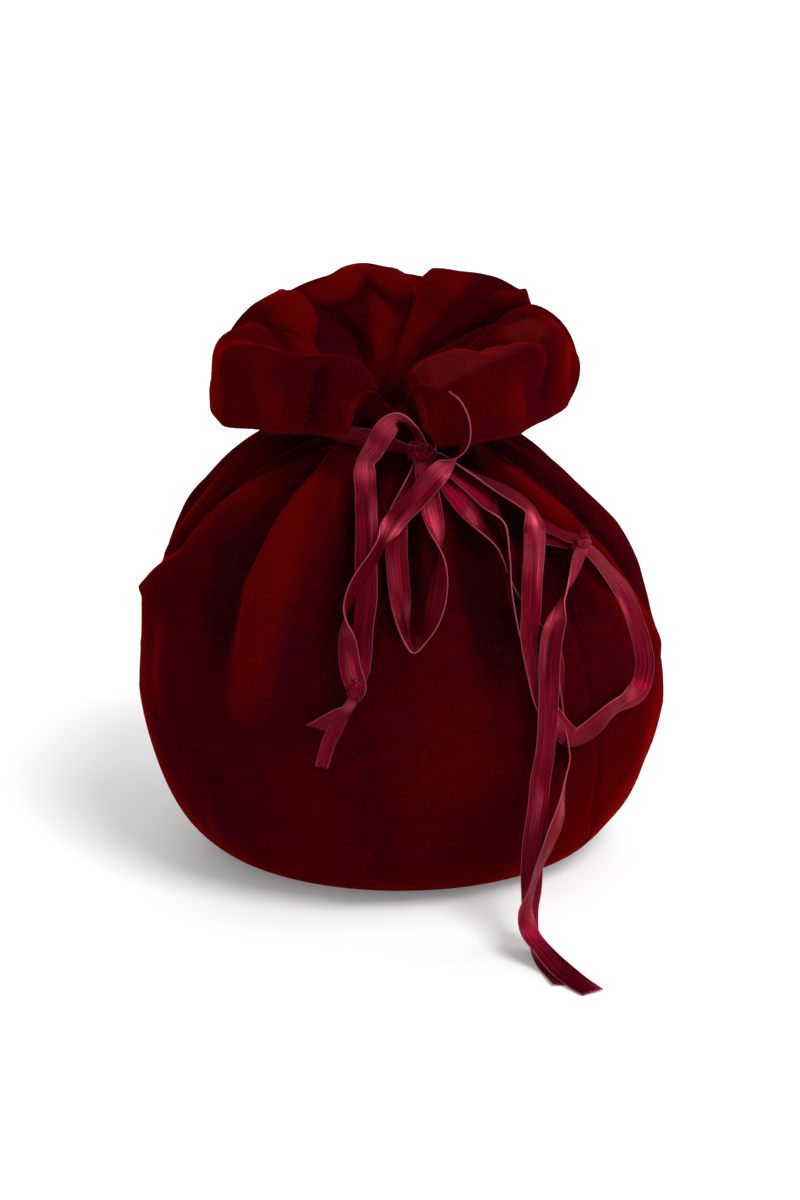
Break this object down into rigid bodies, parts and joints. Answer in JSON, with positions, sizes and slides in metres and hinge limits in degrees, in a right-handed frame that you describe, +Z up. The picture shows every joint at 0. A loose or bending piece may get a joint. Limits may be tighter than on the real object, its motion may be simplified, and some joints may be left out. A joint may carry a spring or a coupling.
{
  "type": "drawstring pouch",
  "caption": "Filled velvet kinchaku pouch with a gathered neck, an open rolled ruffle, and flat satin ribbons tied in a loose bow with long knotted ends.",
  "frame": {"origin": "middle of the flat patch that the pouch rests on", "axes": "+Z up through the neck, -Y towards the front with the bow, +X to the right as seen from the front"},
  "size_m": [0.1727, 0.1796, 0.191],
  "materials": {
    "crimson_velvet": "dark crimson pile velvet",
    "burgundy_satin": "burgundy satin ribbon with a lighter woven edge"
  },
  "bodies": {
    "root": {"velvet_pouch": "crimson_velvet", "bow_knot": "burgundy_satin", "left_knot": "burgundy_satin", "right_knot": "burgundy_satin", "ribbon_neck": "burgundy_satin", "ribbon_left_front": "burgundy_satin", "ribbon_left_back": "burgundy_satin", "ribbon_bow_loop": "burgundy_satin", "ribbon_short_tail": "burgundy_satin", "ribbon_right_strand": "burgundy_satin", "ribbon_right_loop": "burgundy_satin", "ribbon_upper_1": "burgundy_satin", "ribbon_upper_2": "burgundy_satin", "ribbon_tail_1": "burgundy_satin", "ribbon_tail_2": "burgundy_satin", "left_end_1": "burgundy_satin", "left_end_2": "burgundy_satin"}
  },
  "joints": []
}
